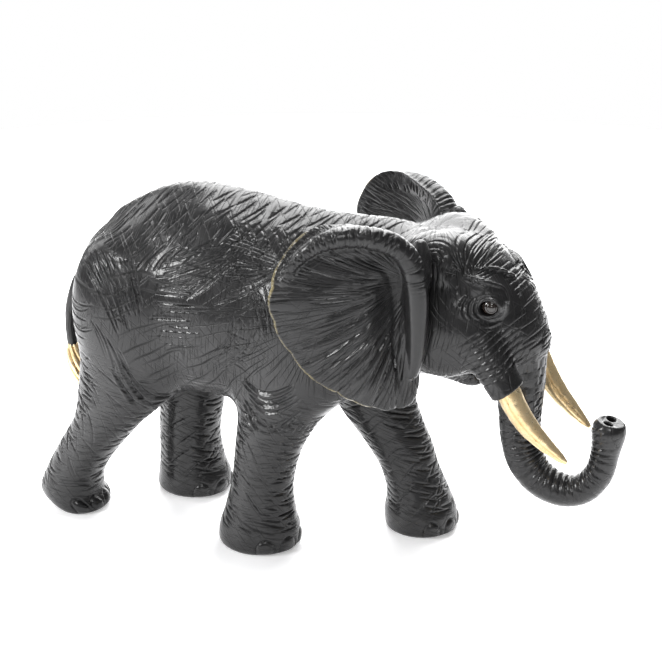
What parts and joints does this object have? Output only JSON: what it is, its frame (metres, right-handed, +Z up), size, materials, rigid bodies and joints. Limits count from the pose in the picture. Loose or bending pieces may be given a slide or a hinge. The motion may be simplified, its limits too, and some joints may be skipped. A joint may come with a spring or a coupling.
{
  "type": "carved wooden elephant figure",
  "caption": "Striding carved elephant figure in black lacquer, with spread ears, a curled trunk, gilded tusks and a gilded tail tuft, standing on flat soles.",
  "frame": {"origin": "middle of the figure's bounding box, on the ground its soles stand on", "axes": "+X from the tail to the trunk (longest), +Y the animal's left (shortest), +Z up"},
  "size_m": [0.3088, 0.1384, 0.1871],
  "materials": {
    "lacquered_wood": "opaque black lacquer, semi-gloss, over hand-carved lines",
    "gilded_wood": "champagne gold leaf, softly worn",
    "black_bead": "high gloss bead",
    "raw_wood": "unfinished beech"
  },
  "bodies": {
    "root": {"torso": "lacquered_wood", "head": "lacquered_wood", "trunk": "lacquered_wood", "ear_left": "lacquered_wood", "ear_right": "lacquered_wood", "tusk_left": "gilded_wood", "tusk_right": "gilded_wood", "leg_front_left": "lacquered_wood", "leg_front_right": "lacquered_wood", "leg_rear_left": "lacquered_wood", "leg_rear_right": "lacquered_wood", "tail": "lacquered_wood", "tail_tuft": "gilded_wood", "eye_left": "black_bead", "eye_right": "black_bead", "neck_dowels": "raw_wood", "trunk_dowel": "raw_wood", "leg_dowels": "raw_wood", "ear_dowels": "raw_wood"}
  },
  "joints": []
}
